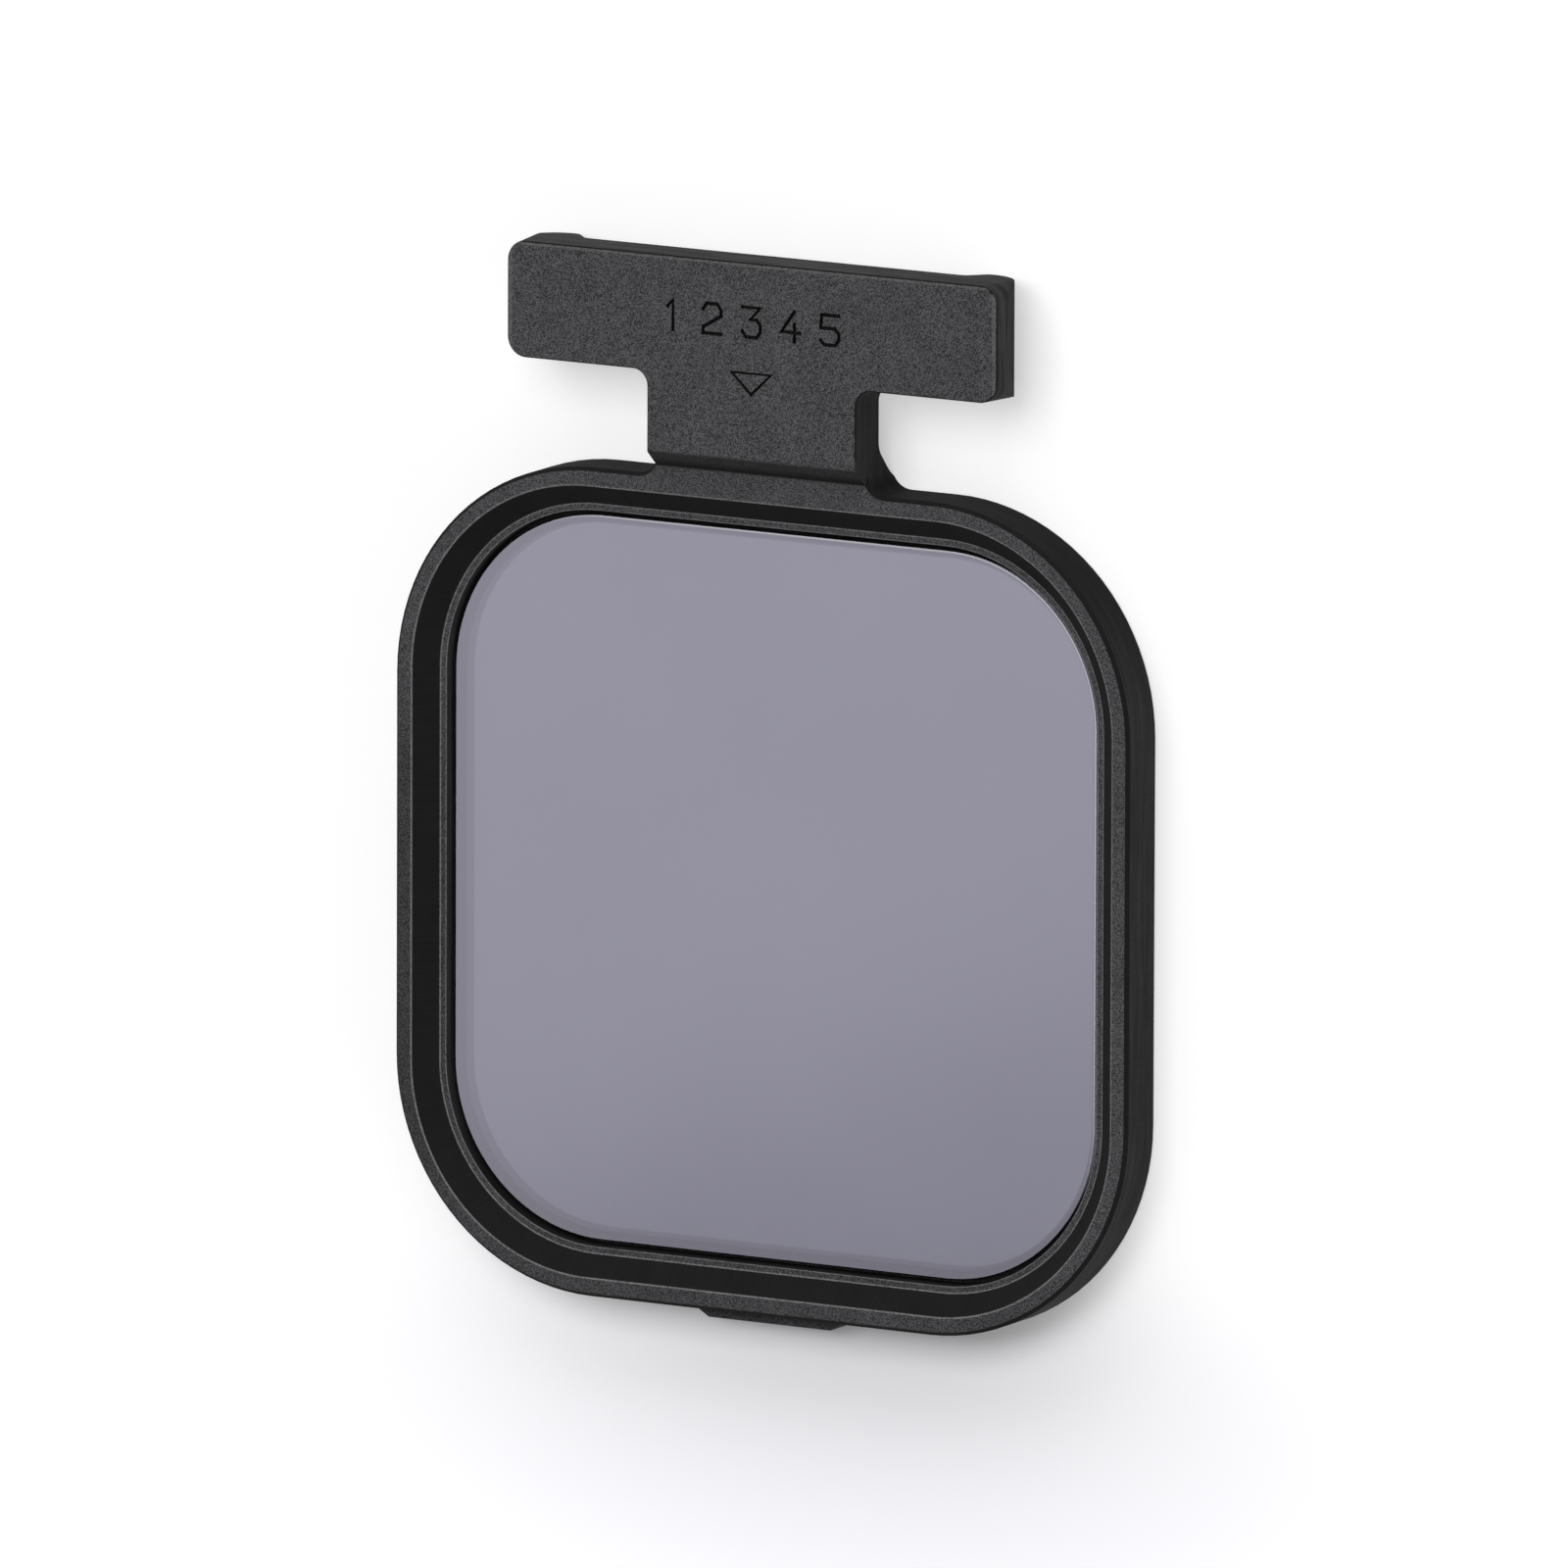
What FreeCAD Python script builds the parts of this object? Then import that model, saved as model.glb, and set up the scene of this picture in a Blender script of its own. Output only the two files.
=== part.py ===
# Magnetic neutral density filter for a telephone's camera block.
# One milled aluminium frame carries a rounded square glass plate. A neck at
# the top steps forward to a cross bar, the handle that pulls the filter off,
# and a low tongue at the bottom locates it in its holder. Bar magnets sit in
# slots in the back of the frame, and a film of adhesive holds the glass.
#
# The filter lies on its flat back. X runs across it, +Y from the tongue to
# the cross bar, and +Z is its front. The origin is the middle of the whole
# filter, on the plane of its back. Inside each body Y runs from the middle of
# the window instead. Sizes are in millimetres and angles in degrees.
import FreeCAD, Part
import math
import os
import Sketcher

SIZES = [
    ("frame_side", 45.0),
    ("frame_side_straight", 20.8),
    ("frame_thickness", 3.0),
    ("front_bevel", 0.2),
    ("back_bevel", 0.12),
    ("front_land_width", 0.8),
    ("window_side_straight", 21.2),
    ("slope_run", 1.15),
    ("slope_depth", 1.15),
    ("step_ring_width", 0.35),
    ("lip_thickness", 0.5),
    ("lip_width", 0.85),
    ("glass_thickness", 0.8),
    ("glass_gap", 0.27),
    ("glass_bevel", 0.08),
    ("film_thickness", 0.1),
    ("film_gap", 0.1),
    ("neck_width", 12.8),
    ("neck_length", 5.8),
    ("neck_root_radius", 1.2),
    ("handle_forward", 1.05),
    ("handle_thickness", 2.47),
    ("handle_bevel", 0.07),
    ("bar_width", 30.0),
    ("bar_height", 6.3),
    ("bar_corner_radius", 1.1),
    ("bar_back_corner_radius", 0.25),
    ("bar_inner_radius", 0.9),
    ("front_jog_rise", 0.52),
    ("front_jog_angle", 49.0),
    ("front_jog_radius", 0.35),
    ("back_jog_rise", 0.5),
    ("back_jog_angle", 42.0),
    ("back_jog_radius", 1.2),
    ("lug_length", 3.35),
    ("lug_height", 0.97),
    ("lug_angle", 47.0),
    ("lug_radius", 0.55),
    ("lug_end_radius", 2.15),
    ("tongue_root_width", 9.5),
    ("tongue_tip_width", 7.5),
    ("tongue_height", 0.63),
    ("tongue_setback", 1.25),
    ("tongue_thickness", 1.5),
    ("magnet_length", 12.0),
    ("magnet_width", 1.2),
    ("magnet_depth", 1.2),
    ("magnet_bevel", 0.1),
    ("magnet_clearance", 0.05),
    ("magnet_recess", 0.05),
    ("magnet_inset", 1.25),
    ("slot_end_radius", 0.5),
]

doc = FreeCAD.newDocument("phone_filter")
sheet = doc.addObject("Spreadsheet::Sheet", "Sizes")
for row, (alias, number) in enumerate(SIZES, start=1):
    sheet.set("A%d" % row, alias)
    sheet.set("B%d" % row, str(number))
    sheet.setAlias("B%d" % row, alias)
doc.recompute()


class Size:
    """A number with the expression that ties it to the sheet."""

    def __init__(self, value, text):
        self.value = value
        self.text = text

    def _join(self, sign, other, value):
        right = other.text if isinstance(other, Size) else repr(other)
        return Size(value, "(%s %s %s)" % (self.text, sign, right))

    def __add__(self, other):
        return self._join("+", other, self.value + number_of(other))

    def __sub__(self, other):
        return self._join("-", other, self.value - number_of(other))

    def __mul__(self, other):
        return self._join("*", other, self.value * number_of(other))

    def __truediv__(self, other):
        return self._join("/", other, self.value / number_of(other))

    def __neg__(self):
        return Size(-self.value, "(-1 * %s)" % self.text)

    def tan(self):
        return Size(math.tan(math.radians(self.value)), "tan(%s)" % self.text)


def number_of(item):
    return item.value if isinstance(item, Size) else item


def size(alias):
    return Size(float(getattr(sheet, alias)), "Sizes." + alias)


def new_body(name):
    body = doc.addObject("PartDesign::Body", name)
    body.Label = name
    body.setExpression("Placement.Base.y", (-MIDDLE).text)
    return body


def new_sketch(body, name, role="XY_Plane", lift=None):
    """A sketch on one of the body's own origin planes, moved along its normal by lift."""
    sketch = body.newObject("Sketcher::SketchObject", name)
    plane = [item for item in body.Origin.OriginFeatures if item.Role == role][0]
    sketch.AttachmentSupport = [(plane, "")]
    sketch.MapMode = "FlatFace"
    if lift is not None:
        sketch.setExpression("AttachmentOffset.Base.z", lift.text)
    return sketch


def pin_corner(sketch, x, y):
    """A construction point held at the corner's place by two bound distances."""
    point = sketch.addGeometry(Part.Point(FreeCAD.Vector(number_of(x), number_of(y), 0)), True)
    for kind, place in (("DistanceX", x), ("DistanceY", y)):
        held = sketch.addConstraint(Sketcher.Constraint(kind, -1, 1, point, 1, number_of(place)))
        if isinstance(place, Size):
            sketch.setExpression("Constraints[%d]" % held, place.text)
    return point


def round_places(before, here, after, radius):
    """Where an arc of this radius leaves the two sides that meet here, and its centre."""
    side_in = (here - before).normalize()
    side_out = (after - here).normalize()
    turn = side_in.x * side_out.y - side_in.y * side_out.x
    reach = radius * math.tan(side_in.getAngle(side_out) / 2)
    start = here - side_in * reach
    finish = here + side_out * reach
    inward = FreeCAD.Vector(-side_in.y, side_in.x, 0) * math.copysign(radius, turn)
    return start, finish, start + inward, turn > 0


def outline(sketch, corners):
    """A closed outline of straight sides through the corners (x, y, radius or None)."""
    count = len(corners)
    spots = [FreeCAD.Vector(number_of(x), number_of(y), 0) for x, y, _ in corners]
    points = [pin_corner(sketch, x, y) for x, y, _ in corners]
    starts, finishes, arcs = [], [], []
    for index, (_, _, radius) in enumerate(corners):
        if radius is None:
            starts.append(spots[index])
            finishes.append(spots[index])
            arcs.append(None)
            continue
        start, finish, centre, left_turn = round_places(
            spots[index - 1], spots[index], spots[(index + 1) % count], radius.value)
        starts.append(start)
        finishes.append(finish)
        first, last = (start, finish) if left_turn else (finish, start)
        first_angle = math.atan2(first.y - centre.y, first.x - centre.x)
        last_angle = math.atan2(last.y - centre.y, last.x - centre.x)
        if last_angle < first_angle:
            last_angle += 2 * math.pi
        circle = Part.Circle(centre, FreeCAD.Vector(0, 0, 1), radius.value)
        arc = sketch.addGeometry(Part.ArcOfCircle(circle, first_angle, last_angle), False)
        arcs.append((arc, left_turn, radius))
    sides = []
    for index in range(count):
        after = (index + 1) % count
        side = sketch.addGeometry(Part.LineSegment(finishes[index], starts[after]), False)
        sides.append(side)
    for index in range(count):
        side_in = sides[index - 1]
        side_out = sides[index]
        if arcs[index] is None:
            sketch.addConstraint(Sketcher.Constraint("Coincident", side_in, 2, points[index], 1))
            sketch.addConstraint(Sketcher.Constraint("Coincident", side_out, 1, points[index], 1))
            continue
        arc, left_turn, radius = arcs[index]
        arc_in, arc_out = (1, 2) if left_turn else (2, 1)
        sketch.addConstraint(Sketcher.Constraint("PointOnObject", points[index], 1, side_in))
        sketch.addConstraint(Sketcher.Constraint("PointOnObject", points[index], 1, side_out))
        sketch.addConstraint(Sketcher.Constraint("Tangent", side_in, 2, arc, arc_in))
        sketch.addConstraint(Sketcher.Constraint("Tangent", arc, arc_out, side_out, 1))
        held = sketch.addConstraint(Sketcher.Constraint("Radius", arc, radius.value))
        sketch.setExpression("Constraints[%d]" % held, radius.text)


def square_corners(half, radius):
    return [(-half, -half, radius), (half, -half, radius), (half, half, radius), (-half, half, radius)]


def window_outline(sketch, inset):
    """The window's rounded square at this distance inside the frame's sides."""
    half = HALF - inset
    outline(sketch, square_corners(half, half - size("window_side_straight") / 2))


def pad(body, name, sketch, length):
    feature = body.newObject("PartDesign::Pad", name)
    feature.Profile = sketch
    feature.setExpression("Length", length.text)
    doc.recompute()
    return feature


def pocket(body, name, sketch, length=None, midplane=False, upward=False):
    """A cut by length or, without one, right through, on both sides where midplane is set."""
    volume = body.Tip.Shape.Volume
    feature = body.newObject("PartDesign::Pocket", name)
    feature.Profile = sketch
    feature.Reversed = upward
    if length is None:
        feature.Type = "ThroughAll"
    else:
        feature.setExpression("Length", length.text)
    feature.Midplane = midplane
    doc.recompute()
    if not feature.Shape.Volume < volume:
        raise RuntimeError(name + " cuts nothing")
    return feature


# Two places nearer than this count as one when edges are picked.
NEAR = 1e-3


def level_edges(shape, height, above=None, below=None):
    """Names of the edges that lie flat at this height, with their middles between two Y places."""
    names = []
    for index, edge in enumerate(shape.Edges, start=1):
        box = edge.BoundBox
        middle = edge.CenterOfMass.y
        level = abs(box.ZMin - height) < NEAR and abs(box.ZMax - height) < NEAR
        past = above is None or middle > above + NEAR
        short = below is None or middle < below - NEAR
        if level and past and short:
            names.append("Edge%d" % index)
    return names


def bevel(body, name, base, edges, width):
    feature = body.newObject("PartDesign::Chamfer", name)
    feature.Base = (base, edges)
    feature.setExpression("Size", width.text)
    doc.recompute()
    return feature


HALF = size("frame_side") / 2
THICKNESS = size("frame_thickness")
HANDLE_FRONT = THICKNESS + size("handle_forward")
HANDLE_BACK = HANDLE_FRONT - size("handle_thickness")
NECK_HALF = size("neck_width") / 2
BAR_HALF = size("bar_width") / 2
BAR_BOTTOM = HALF + size("neck_length")
BAR_TOP = BAR_BOTTOM + size("bar_height")
TONGUE_TIP = -HALF - size("tongue_height")
# The middle of the whole filter's height, measured from the middle of the window.
MIDDLE = (BAR_TOP + TONGUE_TIP) / 2
WINDOW_INSET = size("front_bevel") + size("front_land_width")
RING_INSET = WINDOW_INSET + size("slope_run")
SEAT_INSET = RING_INSET + size("step_ring_width")
GLASS_INSET = SEAT_INSET + size("glass_gap")
LIP_INSET = SEAT_INSET + size("lip_width")
FILM_TOP = size("lip_thickness") + size("film_thickness")
# The cutting profiles run this far past the frame, so that no end face is left.
BEYOND = Size(3.0, "3")


def frame_blank(body):
    """The plate with a stub of the neck, whose root radii the front bevel follows."""
    sketch = new_sketch(body, "PlateOutline")
    root = size("neck_root_radius")
    corner = HALF - size("frame_side_straight") / 2
    stub_end = HALF + root + size("front_jog_radius")
    outline(sketch, [
        (-HALF, -HALF, corner),
        (HALF, -HALF, corner),
        (HALF, HALF, corner),
        (NECK_HALF, HALF, root),
        (NECK_HALF, stub_end, None),
        (-NECK_HALF, stub_end, None),
        (-NECK_HALF, HALF, root),
        (-HALF, HALF, corner),
    ])
    plate = pad(body, "Plate", sketch, THICKNESS)
    rim = level_edges(plate.Shape, THICKNESS.value, below=stub_end.value)
    front = bevel(body, "FrontBevel", plate, rim, size("front_bevel"))
    rim = level_edges(front.Shape, 0.0, below=stub_end.value)
    bevel(body, "BackBevel", front, rim, size("back_bevel"))


def handle_blank(body):
    """Neck and cross bar as one flat T with a fine bevel round its front."""
    sunk_end = HALF - size("front_bevel") * 2
    inner = size("bar_inner_radius")
    sketch = new_sketch(body, "HandleOutline")
    outline(sketch, [
        (-NECK_HALF, sunk_end, None),
        (NECK_HALF, sunk_end, None),
        (NECK_HALF, BAR_BOTTOM, inner),
        (BAR_HALF, BAR_BOTTOM, None),
        (BAR_HALF, BAR_TOP, None),
        (-BAR_HALF, BAR_TOP, None),
        (-BAR_HALF, BAR_BOTTOM, None),
        (-NECK_HALF, BAR_BOTTOM, inner),
    ])
    blank = pad(body, "Handle", sketch, HANDLE_FRONT)
    rim = level_edges(blank.Shape, HANDLE_FRONT.value, above=sunk_end.value)
    bevel(body, "HandleBevel", blank, rim, size("handle_bevel"))


def corner_cut(body, name, level, across, end, along, inset, radius):
    """At this level, what lies outside one rounded corner of the bar.

    End is the bar's upper or lower edge. Across and along are 1 or -1 and point out from
    the corner in X and in Y. Inset moves both sides inward, as the fine bevel does.
    """
    sketch = new_sketch(body, name, lift=level)
    reach = size("bar_corner_radius") + size("handle_bevel")
    start_x = (BAR_HALF - reach) * across
    start_y = end - reach * along
    side_x = (BAR_HALF - inset) * across
    side_y = end - inset * along
    clear_x = (BAR_HALF + BEYOND) * across
    clear_y = end + BEYOND * along
    outline(sketch, [
        (side_x, start_y, None),
        (side_x, side_y, radius),
        (start_x, side_y, None),
        (start_x, clear_y, None),
        (clear_x, clear_y, None),
        (clear_x, start_y, None),
    ])
    return sketch


def round_bar_corners(body):
    """The bar's corners are wide at the front and tighten toward the back."""
    flush = Size(0.0, "0")
    fine = size("handle_bevel")
    wide = size("bar_corner_radius")
    for end_name, end, along in (("Top", BAR_TOP, 1), ("Bottom", BAR_BOTTOM, -1)):
        for side_name, across in (("Right", 1), ("Left", -1)):
            name = end_name + side_name
            sections = [
                corner_cut(body, "CornerBack" + name, flush, across, end, along,
                           flush, size("bar_back_corner_radius")),
                corner_cut(body, "CornerFront" + name, HANDLE_FRONT - fine, across, end, along,
                           flush, wide),
                corner_cut(body, "CornerRim" + name, HANDLE_FRONT, across, end, along,
                           fine, wide - fine),
            ]
            cut = body.newObject("PartDesign::SubtractiveLoft", "Corner" + name)
            cut.Profile = sections[0]
            cut.Sections = sections[1:]
            cut.Ruled = True
            doc.recompute()


def handle_front(body):
    """The front steps back from the handle to the frame in one sloped jog."""
    sketch = new_sketch(body, "FrontJogProfile", "YZ_Plane")
    foot = HALF + size("front_jog_rise")
    head = foot + size("handle_forward") / size("front_jog_angle").tan()
    radius = size("front_jog_radius")
    clear = HANDLE_FRONT + BEYOND
    outline(sketch, [
        (-HALF - BEYOND, THICKNESS, None),
        (foot, THICKNESS, radius),
        (head, HANDLE_FRONT, radius),
        (head + radius, HANDLE_FRONT, None),
        (head + radius, clear, None),
        (-HALF - BEYOND, clear, None),
    ])
    pocket(body, "FrontJog", sketch, midplane=True)


def handle_back(body):
    """The back is relieved by a longer jog, and swells into a lug at each end."""
    jog = new_sketch(body, "BackJogProfile", "YZ_Plane")
    slope = size("back_jog_angle").tan()
    foot = HALF + size("back_jog_rise")
    end = BAR_BOTTOM - size("bar_inner_radius")
    outline(jog, [
        (foot - BEYOND / slope, -BEYOND, None),
        (end, -BEYOND, None),
        (end, HANDLE_BACK, None),
        (foot + HANDLE_BACK / slope, HANDLE_BACK, size("back_jog_radius")),
    ])
    pocket(body, "BackJog", jog, midplane=True)
    start = end - size("bar_inner_radius")
    lugs = new_sketch(body, "LugProfile", "XZ_Plane", lift=-start)
    lug_foot = BAR_HALF - size("lug_length")
    lug_head = lug_foot + size("lug_height") / size("lug_angle").tan()
    lug_back = HANDLE_BACK - size("lug_height")
    radius = size("lug_radius")
    end_radius = size("lug_end_radius")
    clear = BAR_HALF + BEYOND
    outline(lugs, [
        (-clear, -BEYOND, None),
        (clear, -BEYOND, None),
        (clear, HANDLE_FRONT, None),
        (BAR_HALF, HANDLE_FRONT, None),
        (BAR_HALF, lug_back, end_radius),
        (lug_head, lug_back, radius),
        (lug_foot, HANDLE_BACK, radius),
        (-lug_foot, HANDLE_BACK, radius),
        (-lug_head, lug_back, radius),
        (-BAR_HALF, lug_back, end_radius),
        (-BAR_HALF, HANDLE_FRONT, None),
        (-clear, HANDLE_FRONT, None),
    ])
    pocket(body, "Lugs", lugs, BAR_TOP - start + BEYOND)


def tongue(body):
    """The low trapezoid on the bottom edge, set back from the front."""
    sketch = new_sketch(body, "TongueOutline",
                        lift=THICKNESS - size("tongue_setback") - size("tongue_thickness"))
    root = size("tongue_root_width") / 2
    tip = size("tongue_tip_width") / 2
    sunk = -HALF + size("front_land_width") / 2
    outline(sketch, [
        (-root, sunk, None),
        (-root, -HALF, None),
        (-tip, TONGUE_TIP, None),
        (tip, TONGUE_TIP, None),
        (root, -HALF, None),
        (root, sunk, None),
    ])
    pad(body, "Tongue", sketch, size("tongue_thickness"))


def window(body):
    """A sloped wall down to a narrow ring, the glass seat, and the opening in its lip."""
    slope_step = size("slope_run") / size("slope_depth") * size("front_bevel")
    wide = new_sketch(body, "SlopeTop", lift=THICKNESS + size("front_bevel"))
    window_outline(wide, WINDOW_INSET - slope_step)
    narrow = new_sketch(body, "SlopeFoot", lift=THICKNESS - size("slope_depth"))
    window_outline(narrow, RING_INSET)
    slope = body.newObject("PartDesign::SubtractiveLoft", "Slope")
    slope.Profile = wide
    slope.Sections = [narrow]
    slope.Ruled = True
    doc.recompute()
    seat = new_sketch(body, "SeatOutline", lift=THICKNESS)
    window_outline(seat, SEAT_INSET)
    pocket(body, "GlassSeat", seat, THICKNESS - size("lip_thickness"))
    opening = new_sketch(body, "OpeningOutline", lift=THICKNESS)
    window_outline(opening, LIP_INSET)
    pocket(body, "Opening", opening)


# The middle of each magnet as a direction from the middle of the window.
MAGNET_SIDES = {
    "magnet_top": (0, 1),
    "magnet_bottom": (0, -1),
    "magnet_left": (-1, 0),
    "magnet_right": (1, 0),
}


def bar_corners(side, length, width, radius):
    """Corners of a bar that runs along one side of the frame."""
    across, along = side
    half_x = width / 2 if across else length / 2
    half_y = length / 2 if across else width / 2
    middle_x = (HALF - size("magnet_inset")) * across
    middle_y = (HALF - size("magnet_inset")) * along
    return [
        (middle_x - half_x, middle_y - half_y, radius),
        (middle_x + half_x, middle_y - half_y, radius),
        (middle_x + half_x, middle_y + half_y, radius),
        (middle_x - half_x, middle_y + half_y, radius),
    ]


def magnet_slots(body):
    """One slot in each side of the back, with round ends past the magnet's corners."""
    play = size("magnet_clearance") * 2
    end_radius = size("slot_end_radius")
    for name, side in MAGNET_SIDES.items():
        sketch = new_sketch(body, "Slot_" + name)
        outline(sketch, bar_corners(side, size("magnet_length") + play + end_radius * 2,
                                    size("magnet_width") + play, end_radius))
        pocket(body, "SlotCut_" + name, sketch, size("magnet_depth") + size("magnet_recess"), upward=True)


def make_frame():
    body = new_body("filter_frame")
    frame_blank(body)
    handle_blank(body)
    round_bar_corners(body)
    handle_front(body)
    handle_back(body)
    tongue(body)
    window(body)
    magnet_slots(body)
    return body


def make_glass():
    body = new_body("nd_glass")
    sketch = new_sketch(body, "GlassOutline", lift=FILM_TOP)
    window_outline(sketch, GLASS_INSET)
    plate = pad(body, "GlassPlate", sketch, size("glass_thickness"))
    rims = []
    for height in (FILM_TOP, FILM_TOP + size("glass_thickness")):
        rims += level_edges(plate.Shape, height.value)
    bevel(body, "GlassBevel", plate, rims, size("glass_bevel"))
    return body


def make_film():
    body = new_body("adhesive_film")
    sketch = new_sketch(body, "FilmOutline", lift=size("lip_thickness"))
    window_outline(sketch, SEAT_INSET + size("film_gap"))
    film = pad(body, "Film", sketch, size("film_thickness"))
    hole = new_sketch(body, "FilmHole", lift=FILM_TOP)
    window_outline(hole, LIP_INSET - size("film_gap"))
    pocket(body, "FilmOpening", hole)
    return body


def make_magnet(name, side):
    body = new_body(name)
    sketch = new_sketch(body, "BarOutline_" + name, lift=size("magnet_recess"))
    outline(sketch, bar_corners(side, size("magnet_length"), size("magnet_width"), None))
    bar = pad(body, "Bar_" + name, sketch, size("magnet_depth"))
    face_edges = level_edges(bar.Shape, size("magnet_recess").value)
    bevel(body, "BarBevel_" + name, bar, face_edges, size("magnet_bevel"))
    return body


bodies = [make_frame(), make_glass(), make_film()]
for magnet_name, magnet_side in MAGNET_SIDES.items():
    bodies.append(make_magnet(magnet_name, magnet_side))
doc.recompute()

for item in doc.Objects:
    if "Invalid" in item.State or "Error" in item.State:
        raise RuntimeError(item.Name + " did not compute")
os.makedirs("parts", exist_ok=True)
for body in bodies:
    if body.Shape.isNull() or not body.Shape.isValid():
        raise RuntimeError(body.Label + " has no valid shape")
    if len(body.Shape.Solids) != 1:
        raise RuntimeError(body.Label + " is not one solid")
    body.Shape.exportStep(os.path.join("parts", body.Label + ".step"))
    box = body.Shape.BoundBox
    print(body.Label, round(body.Shape.Volume, 2), [round(v, 3) for v in (
        box.XMin, box.YMin, box.ZMin, box.XMax, box.YMax, box.ZMax)])
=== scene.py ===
import math

import bpy
from mathutils import Matrix, Vector


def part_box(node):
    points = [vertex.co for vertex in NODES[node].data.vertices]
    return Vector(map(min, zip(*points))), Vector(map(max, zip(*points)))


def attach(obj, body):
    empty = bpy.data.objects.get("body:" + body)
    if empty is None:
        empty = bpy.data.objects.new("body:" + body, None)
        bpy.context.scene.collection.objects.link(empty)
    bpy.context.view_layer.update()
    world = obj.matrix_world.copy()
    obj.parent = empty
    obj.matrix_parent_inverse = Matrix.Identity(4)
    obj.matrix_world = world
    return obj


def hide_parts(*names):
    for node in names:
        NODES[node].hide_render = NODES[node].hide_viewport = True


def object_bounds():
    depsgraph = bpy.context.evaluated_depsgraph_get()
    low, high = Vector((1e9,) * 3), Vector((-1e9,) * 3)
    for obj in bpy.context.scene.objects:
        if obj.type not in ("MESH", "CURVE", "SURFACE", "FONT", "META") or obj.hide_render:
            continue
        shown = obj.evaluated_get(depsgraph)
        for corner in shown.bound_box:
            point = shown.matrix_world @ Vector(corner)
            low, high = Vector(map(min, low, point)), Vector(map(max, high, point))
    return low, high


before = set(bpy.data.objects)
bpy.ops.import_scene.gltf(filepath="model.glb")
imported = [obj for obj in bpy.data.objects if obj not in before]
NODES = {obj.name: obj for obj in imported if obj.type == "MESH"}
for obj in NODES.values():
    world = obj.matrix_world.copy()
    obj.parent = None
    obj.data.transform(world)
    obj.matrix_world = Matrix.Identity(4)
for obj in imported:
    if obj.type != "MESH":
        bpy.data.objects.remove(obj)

MM = 0.001
LOW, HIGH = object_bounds()

# The photograph's camera, from the fit to the window's front edge. Angles are in degrees.
CAMERA_AZIMUTH = 29.887
CAMERA_TILT = 10.534
CAMERA_ROLL = -0.1817
CAMERA_DISTANCE = 2.0476
CAMERA_CLIP = (0.05, 20.0)
SENSOR_WIDTH = 36.0
VIEW_PIXELS = 1600
PIXELS_PER_MM = 19.168
AIM_RIGHT = 1.314 * MM
AIM_UP = 6.244 * MM

# Heights of the frame's own levels above its back face, and the handle's places in X and Y.
FRAME_FRONT = 3.0 * MM
RING_LEVEL = 1.85 * MM
HANDLE_FRONT = 4.05 * MM
BAR_HALF = 15.0 * MM
JOG_END = 18.6 * MM
HANDLE_FOOT = (22.2 * MM, 22.6 * MM)

# Rounded squares round the window's middle, by half of their side. All share
# the centres of their corner arcs, which stand CORNER_CENTRE from the middle.
GLASS_LOW, GLASS_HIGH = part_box("nd_glass")
WINDOW_MIDDLE = (GLASS_LOW + GLASS_HIGH) / 2
CORNER_CENTRE = 10.6 * MM
SLOPE_HALF = 21.5 * MM
RING_OUTER_HALF = 20.35 * MM
RING_INNER_HALF = 20.0 * MM
GLASS_RIM_HALF = 19.64 * MM

# Where a value rises from none to all, or falls from all to none.
WHOLE = (0.0, 1.0)
FALLS = (1.0, 0.0)
# The range that a noise seldom leaves.
NOISE_RANGE = (0.3, 0.7)
# The share of a line's half width that is at full strength.
EDGE_CORE = 0.4

# The darkest and the palest grey of each grain of the anodised frame.
BLASTED_GREYS = (0.021, 0.090)
MILLED_GREYS = (0.018, 0.051)
SLOPED_GREYS = (0.0075, 0.0098)
# The pale greys of the painted highlights along thin edges, on the frame and on the bar, and the
# blue of the blasted grain and of the highlights.
EDGE_HIGHLIGHT_GREY = 0.17
BAR_EDGE_HIGHLIGHT_GREY = 0.11
BLASTED_BLUE = 1.05
EDGE_HIGHLIGHT_BLUE = 1.02
# How far the broad mottle darkens and lightens them.
MOTTLE_SHADES = (0.93, 1.07)

# The speckle is moved off the whole numbers of the noise's grid, on which the
# flat faces would lie.
SPECKLE_SHIFT = (0.037 * MM, 0.021 * MM, 0.045 * MM)
SPECKLE_SCALE = 16000.0

# Painted shade darkens the blasted faces low down the left side and along the lower edge.
PAINTED_SHADE_LEFT_X = (-21.0 * MM, -17.0 * MM)
PAINTED_SHADE_LEFT_Y = (-1.0 * MM, 5.0 * MM)
PAINTED_SHADE_LEFT_SHARE = 0.34
PAINTED_SHADE_FOOT_Y = (-27.0 * MM, -23.0 * MM)
PAINTED_SHADE_FOOT_SHARE = 0.16

# Cutter lines run round the walls. They are faint on the frame and plain on the handle.
CUTTER_LINE_STRETCH = (0.08, 0.08, 1.3)
FRAME_LINE_SHARE = 0.35
WALL_GRAIN_SHARE = 0.3
# Painted shade on the walls of the frame that face up; the handle's walls take only a little of
# it.
PAINTED_SHADE_WALL_LEAN = (0.1, 0.75)
PAINTED_SHADE_WALL_LEVEL = 0.35
HANDLE_WALL_PAINTED_SHADE_LEVEL = 0.85

# How far the surface's direction leans to the front on flat faces and on walls.
FLAT_LEAN = (0.80, 0.99)
WALL_LEAN = (0.1, 0.45)

# Painted shade on the handle's front jog: it keeps the dark slope tone at its foot and turns to
# the blasted tone toward its crest.
JOG_PAINTED_SHADE_RISE = (FRAME_FRONT + 0.1 * MM, HANDLE_FRONT - 0.35 * MM)
JOG_PAINTED_SHADE_FADE = (JOG_END, JOG_END + 0.3 * MM)
JOG_PAINTED_SHADE_SHARE = 0.45
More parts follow.
